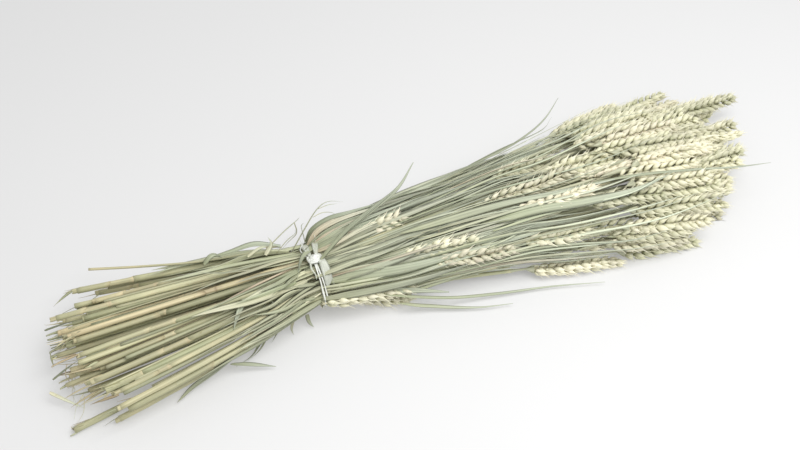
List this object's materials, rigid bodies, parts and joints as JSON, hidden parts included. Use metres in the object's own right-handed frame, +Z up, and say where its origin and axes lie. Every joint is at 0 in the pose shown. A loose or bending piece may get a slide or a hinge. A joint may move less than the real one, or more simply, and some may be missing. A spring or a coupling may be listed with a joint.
{
  "type": "dried wheat bundle",
  "caption": "Bundle of dried wheat lying on its side: straws with plump ears fanned out both ways from a twine tie, with loose leaf blades.",
  "frame": {"origin": "on the surface that the bundle lies on, under the middle of its box", "axes": "+Z up from the surface; +X along the bundle, from the cut ends of the straws to the tips of the ears; +Y to the far side as it is usually looked at"},
  "size_m": [0.6746, 0.1816, 0.1039],
  "materials": {
    "stalk": "matt dried straw and ear, pale khaki green to straw yellow",
    "straw": "matt dried straw, pale yellow",
    "leaf": "matt papery dried leaf, grey green",
    "twine": "satin white split-film plastic twine"
  },
  "bodies": {
    "root": {"wheat_stalk_01": "stalk", "wheat_stalk_02": "stalk", "wheat_stalk_03": "stalk", "wheat_stalk_04": "stalk", "wheat_stalk_05": "stalk", "wheat_stalk_06": "stalk", "wheat_stalk_07": "stalk", "wheat_stalk_08": "stalk", "wheat_stalk_09": "stalk", "wheat_stalk_10": "stalk", "wheat_stalk_11": "stalk", "wheat_stalk_12": "stalk", "wheat_stalk_13": "stalk", "wheat_stalk_14": "stalk", "wheat_stalk_15": "stalk", "wheat_stalk_16": "stalk", "wheat_stalk_17": "stalk", "wheat_stalk_18": "stalk", "wheat_stalk_19": "stalk", "wheat_stalk_20": "stalk", "wheat_stalk_21": "stalk", "wheat_stalk_22": "stalk", "wheat_stalk_23": "stalk", "wheat_stalk_24": "stalk", "wheat_stalk_25": "stalk", "wheat_stalk_26": "stalk", "wheat_stalk_27": "stalk", "wheat_stalk_28": "stalk", "wheat_stalk_29": "stalk", "wheat_stalk_30": "stalk", "wheat_stalk_31": "stalk", "wheat_stalk_32": "stalk", "wheat_stalk_33": "stalk", "wheat_stalk_34": "stalk", "wheat_stalk_35": "stalk", "wheat_stalk_36": "stalk", "wheat_stalk_37": "stalk", "wheat_stalk_38": "stalk", "wheat_stalk_39": "stalk", "wheat_stalk_40": "stalk", "wheat_stalk_41": "stalk", "wheat_stalk_42": "stalk", "wheat_stalk_43": "stalk", "wheat_stalk_44": "stalk", "wheat_stalk_45": "stalk", "wheat_stalk_46": "stalk", "bare_straw": "straw", "leaf_front_short": "leaf", "leaf_front_long": "leaf", "leaf_standing": "leaf", "leaf_past_ears": "leaf", "leaf_far_side": "leaf", "leaf_top_broad": "leaf", "leaf_tie_upper": "leaf", "leaf_tie_lower": "leaf", "leaf_curled_back": "leaf", "leaf_under_straws": "leaf", "leaf_scrap_near": "leaf", "twine_tie": "twine"}
  },
  "joints": []
}
